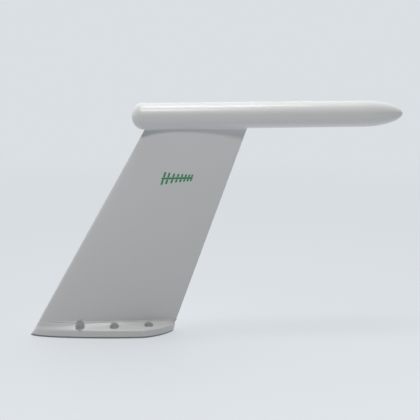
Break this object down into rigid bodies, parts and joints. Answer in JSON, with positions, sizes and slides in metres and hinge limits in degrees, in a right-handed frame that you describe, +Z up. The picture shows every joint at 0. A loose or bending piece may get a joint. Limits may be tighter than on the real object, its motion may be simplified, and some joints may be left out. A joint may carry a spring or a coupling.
{
  "type": "enclosed yagi blade antenna",
  "caption": "Swept airfoil mast on a flared screw-down plinth, carrying a long round radome that encloses a yagi array.",
  "frame": {"origin": "on the underside of the base gasket, midway between the middle pair of screw holes", "axes": "+X along the radome towards its pointed tail, +Y starboard (away from the emblem), +Z up from the mounting plane"},
  "size_m": [0.4392, 0.0478, 0.2717],
  "materials": {
    "radome_white_paint": "gloss",
    "mast_white_paint": "gloss",
    "plinth_white_paint": "gloss",
    "gasket_rubber": "matte",
    "rib_laminate": "matte",
    "inner_aluminium": "satin",
    "connector_steel": "satin",
    "contact_brass": "polished",
    "cable_copper": "satin",
    "insulator_ptfe": "satin",
    "support_foam": "matte",
    "emblem_green": "satin"
  },
  "bodies": {
    "root": {"balun_sleeve": "cable_copper", "base_gasket": "gasket_rubber", "base_plinth": "plinth_white_paint", "boom": "inner_aluminium", "boom_support_1": "support_foam", "boom_support_2": "support_foam", "boom_support_3": "support_foam", "boom_support_4": "support_foam", "clamp_lower": "inner_aluminium", "clamp_screw_1": "connector_steel", "clamp_screw_2": "connector_steel", "clamp_upper": "inner_aluminium", "connector_body": "connector_steel", "connector_contact": "contact_brass", "connector_insulator": "insulator_ptfe", "connector_screw_1": "connector_steel", "connector_screw_2": "connector_steel", "connector_screw_3": "connector_steel", "connector_screw_4": "connector_steel", "connector_seal": "gasket_rubber", "dipole_arm_port": "inner_aluminium", "dipole_arm_starboard": "inner_aluminium", "dipole_block": "insulator_ptfe", "director_01": "inner_aluminium", "director_02": "inner_aluminium", "director_03": "inner_aluminium", "director_04": "inner_aluminium", "director_05": "inner_aluminium", "director_06": "inner_aluminium", "director_07": "inner_aluminium", "director_08": "inner_aluminium", "director_09": "inner_aluminium", "director_10": "inner_aluminium", "director_11": "inner_aluminium", "director_12": "inner_aluminium", "director_13": "inner_aluminium", "director_14": "inner_aluminium", "feed_cable": "cable_copper", "mast_rib_lower": "rib_laminate", "mast_rib_middle": "rib_laminate", "mast_rib_upper": "rib_laminate", "mast_shell_port": "mast_white_paint", "mast_shell_starboard": "mast_white_paint", "mast_spar": "inner_aluminium", "radome_nose": "radome_white_paint", "radome_tail": "radome_white_paint", "radome_tube": "radome_white_paint", "reflector": "inner_aluminium", "side_emblem": "emblem_green"}
  },
  "joints": []
}
